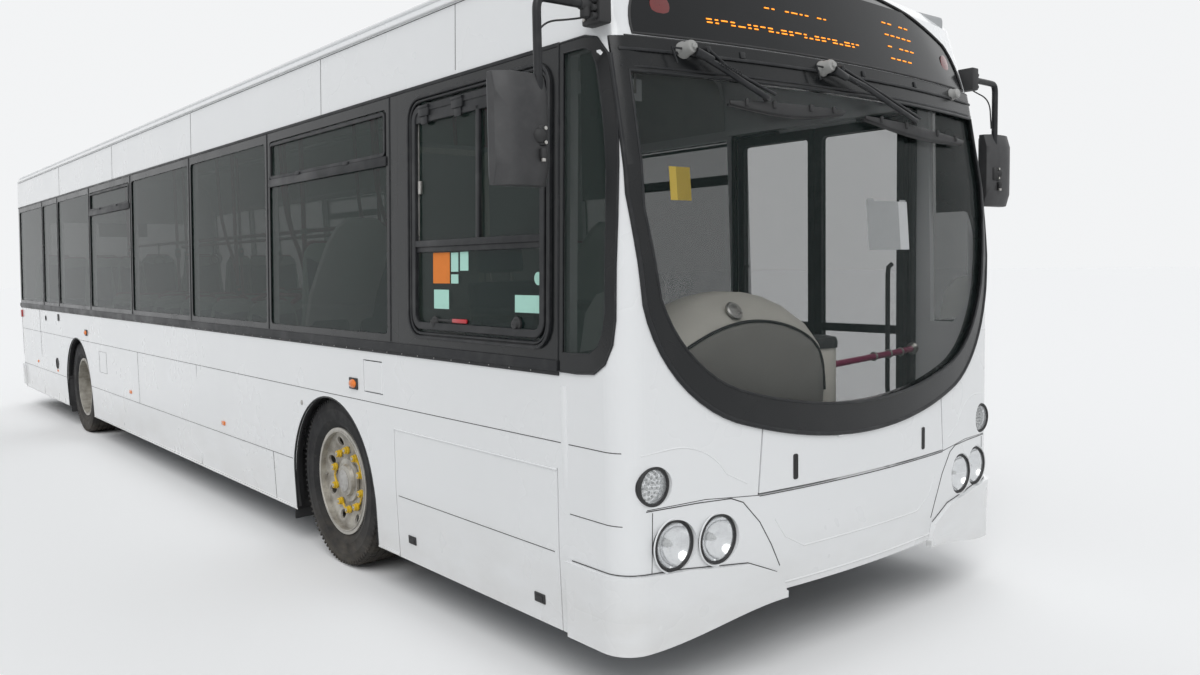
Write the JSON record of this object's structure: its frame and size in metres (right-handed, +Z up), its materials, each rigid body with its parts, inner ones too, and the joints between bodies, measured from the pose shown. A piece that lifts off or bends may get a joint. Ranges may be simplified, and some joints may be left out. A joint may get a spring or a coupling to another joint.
{
  "type": "city bus",
  "caption": "Full-size low-floor single-deck city bus with steered front wheels, twin rear wheels, folding entrance doors, hinged flaps and a seated saloon.",
  "frame": {"origin": "on the ground, below the middle of the overall length and width", "axes": "+Z up, -Y forwards, +X towards the near side with the entrance, -X the driver's side"},
  "size_m": [3.32, 11.9293, 3.08],
  "materials": {
    "white_paint": "gloss white coach paint",
    "black_trim": "satin black rubber and plastic",
    "black_paint": "satin black powder coat",
    "screen_glass": "clear laminated glass, faint green",
    "tinted_glass": "green-grey tinted safety glass",
    "display_black": "dark glossy display cover",
    "clear_lens": "clear lamp lens",
    "red_lens": "red lamp lens",
    "mirror_plastic": "grained black plastic",
    "floor_vinyl": "speckled safety flooring",
    "box_grey": "grey lining",
    "chassis_paint": "black chassis paint",
    "axle_iron": "black painted castings",
    "engine_iron": "cast iron, dusty",
    "dash_plastic": "grained grey plastic",
    "black_plastic": "soft black plastic",
    "seat_fabric": "dark blue wool",
    "seat_shell": "pale grey-green moulded shell",
    "panel_grey": "light grey laminate",
    "rail_paint": "magenta powder coat",
    "rim_paint": "cream-silver wheel paint",
    "tyre": "worn black rubber"
  },
  "bodies": {
    "body": {"axles": "axle_iron", "cab_partition": "panel_grey", "cross_members": "chassis_paint", "dashboard": "dash_plastic", "destination_glass": "display_black", "driver_seat": "seat_fabric", "engine": "engine_iron", "floor": "floor_vinyl", "front_bumper": "white_paint", "front_dome": "white_paint", "front_panel": "white_paint", "grab_rails": "rail_paint", "headlamps": "clear_lens", "mirrors": "mirror_plastic", "near_side_wall": "white_paint", "off_side_wall": "white_paint", "rear_bumper": "white_paint", "rear_lamps": "red_lens", "rear_platform": "floor_vinyl", "rear_wall": "white_paint", "rear_window": "tinted_glass", "roof": "white_paint", "seats": "seat_shell", "side_windows": "tinted_glass", "steering_wheel": "black_plastic", "underframe": "chassis_paint", "wheel_boxes": "box_grey", "windscreen": "screen_glass", "windscreen_moulding": "black_trim", "wipers": "black_trim"},
    "off_steer": {"off_knuckle": "axle_iron"},
    "near_steer": {"near_knuckle": "axle_iron"},
    "off_front_wheel": {"off_front_rim": "rim_paint", "off_front_tyre": "tyre"},
    "near_front_wheel": {"near_front_rim": "rim_paint", "near_front_tyre": "tyre"},
    "off_rear_wheels": {"off_rear_rims": "rim_paint", "off_rear_tyres": "tyre"},
    "near_rear_wheels": {"near_rear_rims": "rim_paint", "near_rear_tyres": "tyre"},
    "front_door_arms": {"front_door_post": "black_paint"},
    "front_door": {"front_door_leaf": "black_paint"},
    "rear_door_arms": {"rear_door_post": "black_paint"},
    "rear_door": {"rear_door_leaf": "black_paint"},
    "cab_gate": {"cab_door": "panel_grey"},
    "front_lid": {"front_flap": "white_paint"},
    "service_lid": {"service_flap": "white_paint"},
    "engine_lid": {"engine_cover": "white_paint"},
    "fuel_lid": {"fuel_flap": "white_paint"}
  },
  "joints": [
    {"name": "off_steering", "type": "hinge", "parent": "body", "child": "off_steer", "pos_m": [-0.93, -3.335, 0.47], "axis": [0, 0, 1], "range_deg": [-42, 42]},
    {"name": "near_steering", "type": "hinge", "parent": "body", "child": "near_steer", "pos_m": [0.93, -3.335, 0.47], "axis": [0, 0, 1], "range_deg": [-42, 42]},
    {"name": "off_front_spin", "type": "hinge", "parent": "off_steer", "child": "off_front_wheel", "pos_m": [-1.0725, -3.335, 0.47], "axis": [1, 0, 0], "continuous": true},
    {"name": "near_front_spin", "type": "hinge", "parent": "near_steer", "child": "near_front_wheel", "pos_m": [1.0725, -3.335, 0.47], "axis": [1, 0, 0], "continuous": true},
    {"name": "off_rear_spin", "type": "hinge", "parent": "body", "child": "off_rear_wheels", "pos_m": [-1.0725, 2.835, 0.47], "axis": [1, 0, 0], "continuous": true},
    {"name": "near_rear_spin", "type": "hinge", "parent": "body", "child": "near_rear_wheels", "pos_m": [1.0725, 2.835, 0.47], "axis": [1, 0, 0], "continuous": true},
    {"name": "front_door_swing", "type": "hinge", "parent": "body", "child": "front_door_arms", "pos_m": [1.13819, -5.43, 1.3], "axis": [0, 0, 1], "range_deg": [0, 85]},
    {"name": "front_door_turn", "type": "hinge", "parent": "front_door_arms", "child": "front_door", "pos_m": [1.13819, -5.0895, 1.3], "axis": [0, 0, 1], "range_deg": [-170, 0]},
    {"name": "rear_door_swing", "type": "hinge", "parent": "body", "child": "rear_door_arms", "pos_m": [1.13819, -4.15, 1.3], "axis": [0, 0, -1], "range_deg": [0, 85]},
    {"name": "rear_door_turn", "type": "hinge", "parent": "rear_door_arms", "child": "rear_door", "pos_m": [1.13819, -4.4905, 1.3], "axis": [0, 0, -1], "range_deg": [-170, 0]},
    {"name": "cab_door_hinge", "type": "hinge", "parent": "body", "child": "cab_gate", "pos_m": [-0.345, -4.2, 0.9], "axis": [0, 0, 1], "range_deg": [0, 88]},
    {"name": "front_flap_hinge", "type": "hinge", "parent": "body", "child": "front_lid", "pos_m": [0, -5.957, 0.928], "axis": [-1, 0, 0], "range_deg": [0, 75]},
    {"name": "service_flap_hinge", "type": "hinge", "parent": "body", "child": "service_lid", "pos_m": [-1.25, -4.7625, 0.861], "axis": [0, 1, 0], "range_deg": [0, 95]},
    {"name": "engine_cover_hinge", "type": "hinge", "parent": "body", "child": "engine_lid", "pos_m": [0, 5.94, 1.2947], "axis": [1, 0, 0], "range_deg": [0, 85]},
    {"name": "fuel_flap_hinge", "type": "hinge", "parent": "body", "child": "fuel_lid", "pos_m": [-1.25, -3.9837, 1.1015], "axis": [0, 0, 1], "range_deg": [0, 120]}
  ],
  "couplings": [
    {"joint": "near_steering", "follows": "off_steering", "ratio": 1},
    {"joint": "front_door_turn", "follows": "front_door_swing", "ratio": -2},
    {"joint": "rear_door_swing", "follows": "front_door_swing", "ratio": 1},
    {"joint": "rear_door_turn", "follows": "front_door_swing", "ratio": -2}
  ]
}
